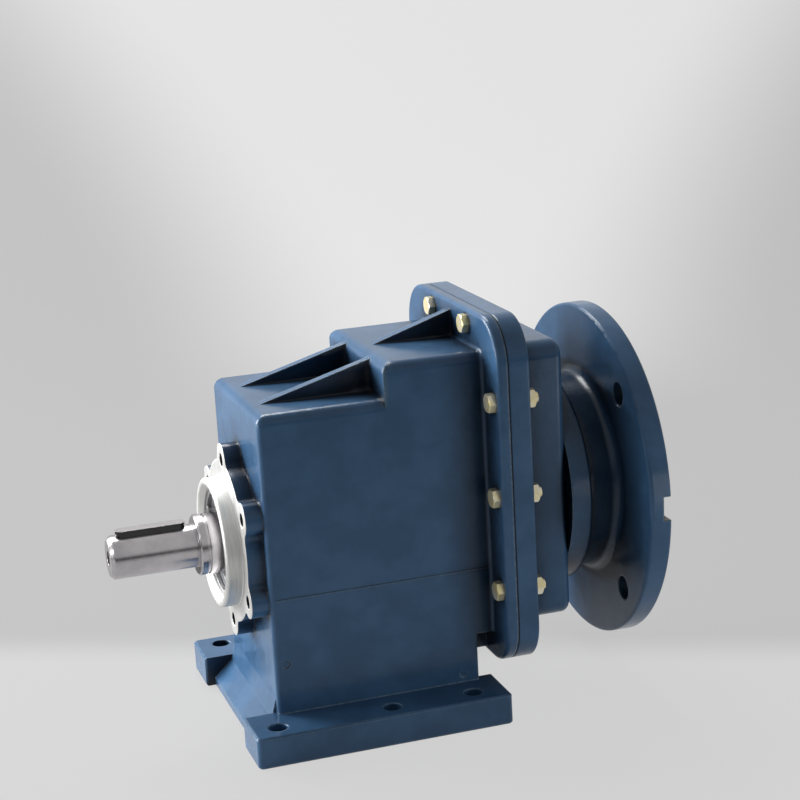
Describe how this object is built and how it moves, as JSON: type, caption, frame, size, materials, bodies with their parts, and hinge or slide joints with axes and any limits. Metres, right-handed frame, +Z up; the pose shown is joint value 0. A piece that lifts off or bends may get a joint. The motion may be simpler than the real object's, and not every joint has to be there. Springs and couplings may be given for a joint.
{
  "type": "foot-mounted helical gearbox",
  "caption": "Foot-mounted inline helical gear unit with a keyed output shaft at the front and a round motor flange with a hollow input shaft at the rear.",
  "frame": {"origin": "centre of the rectangle of the four corner foot holes, on the base plane", "axes": "+X from the output shaft to the motor flange, +Y to the side of the oil plugs, +Z up"},
  "size_m": [0.302, 0.2, 0.232],
  "materials": {
    "blue_paint": "satin dark blue paint on cast aluminium, bare where machined",
    "gasket_paper": "matt",
    "yellow_zinc": "yellow zinc plated",
    "black_oxide": "black oxide",
    "plug_steel": "zinc plated",
    "copper_washer": "soft copper",
    "seal_rubber": "matt black",
    "ground_steel": "ground",
    "spring_steel": "phosphated",
    "gear_steel": "ground and oiled",
    "cage_steel": "pressed sheet",
    "bearing_steel": "polished"
  },
  "bodies": {
    "housing": {"counter_front_bearing_balls": "bearing_steel", "counter_front_bearing_cage": "cage_steel", "counter_front_bearing_outer": "bearing_steel", "counter_rear_bearing_balls": "bearing_steel", "counter_rear_bearing_cage": "cage_steel", "counter_rear_bearing_outer": "bearing_steel", "cover_bolts": "yellow_zinc", "cover_nuts": "yellow_zinc", "cover_screws": "yellow_zinc", "dowel_pins": "ground_steel", "flange_screws": "black_oxide", "gear_case": "blue_paint", "input_circlip": "spring_steel", "input_cover": "blue_paint", "input_front_bearing_balls": "bearing_steel", "input_front_bearing_cage": "cage_steel", "input_front_bearing_outer": "bearing_steel", "input_outer_spacer": "gear_steel", "input_rear_bearing_balls": "bearing_steel", "input_rear_bearing_cage": "cage_steel", "input_rear_bearing_outer": "bearing_steel", "input_seal": "seal_rubber", "joint_gasket": "gasket_paper", "motor_flange": "blue_paint", "oil_plugs": "plug_steel", "output_circlip": "spring_steel", "output_front_bearing_balls": "bearing_steel", "output_front_bearing_cage": "cage_steel", "output_front_bearing_outer": "bearing_steel", "output_rear_bearing_balls": "bearing_steel", "output_rear_bearing_cage": "cage_steel", "output_rear_bearing_outer": "bearing_steel", "output_seal": "seal_rubber", "plug_washers": "copper_washer"},
    "output": {"output_shaft": "ground_steel", "output_key": "black_oxide", "output_gear_key": "gear_steel", "output_gear": "gear_steel", "gear_circlip": "spring_steel", "output_front_bearing_inner": "bearing_steel", "output_rear_bearing_inner": "bearing_steel"},
    "counter": {"counter_shaft": "gear_steel", "counter_key": "gear_steel", "counter_gear": "gear_steel", "counter_spacer": "gear_steel", "counter_front_bearing_inner": "bearing_steel", "counter_rear_bearing_inner": "bearing_steel"},
    "input": {"input_shaft": "gear_steel", "input_inner_spacer": "gear_steel", "input_shaft_circlip": "spring_steel", "input_front_bearing_inner": "bearing_steel", "input_rear_bearing_inner": "bearing_steel"}
  },
  "joints": [
    {"name": "output_spin", "type": "hinge", "parent": "housing", "child": "output", "pos_m": [0, 0, 0.107], "axis": [1, 0, 0], "continuous": true},
    {"name": "counter_spin", "type": "hinge", "parent": "housing", "child": "counter", "pos_m": [0, 0, 0.16157], "axis": [1, 0, 0], "continuous": true},
    {"name": "input_spin", "type": "hinge", "parent": "housing", "child": "input", "pos_m": [0, 0, 0.1194], "axis": [1, 0, 0], "continuous": true}
  ],
  "couplings": [
    {"joint": "counter_spin", "follows": "output_spin", "ratio": -3.3571},
    {"joint": "input_spin", "follows": "output_spin", "ratio": 11.414}
  ]
}
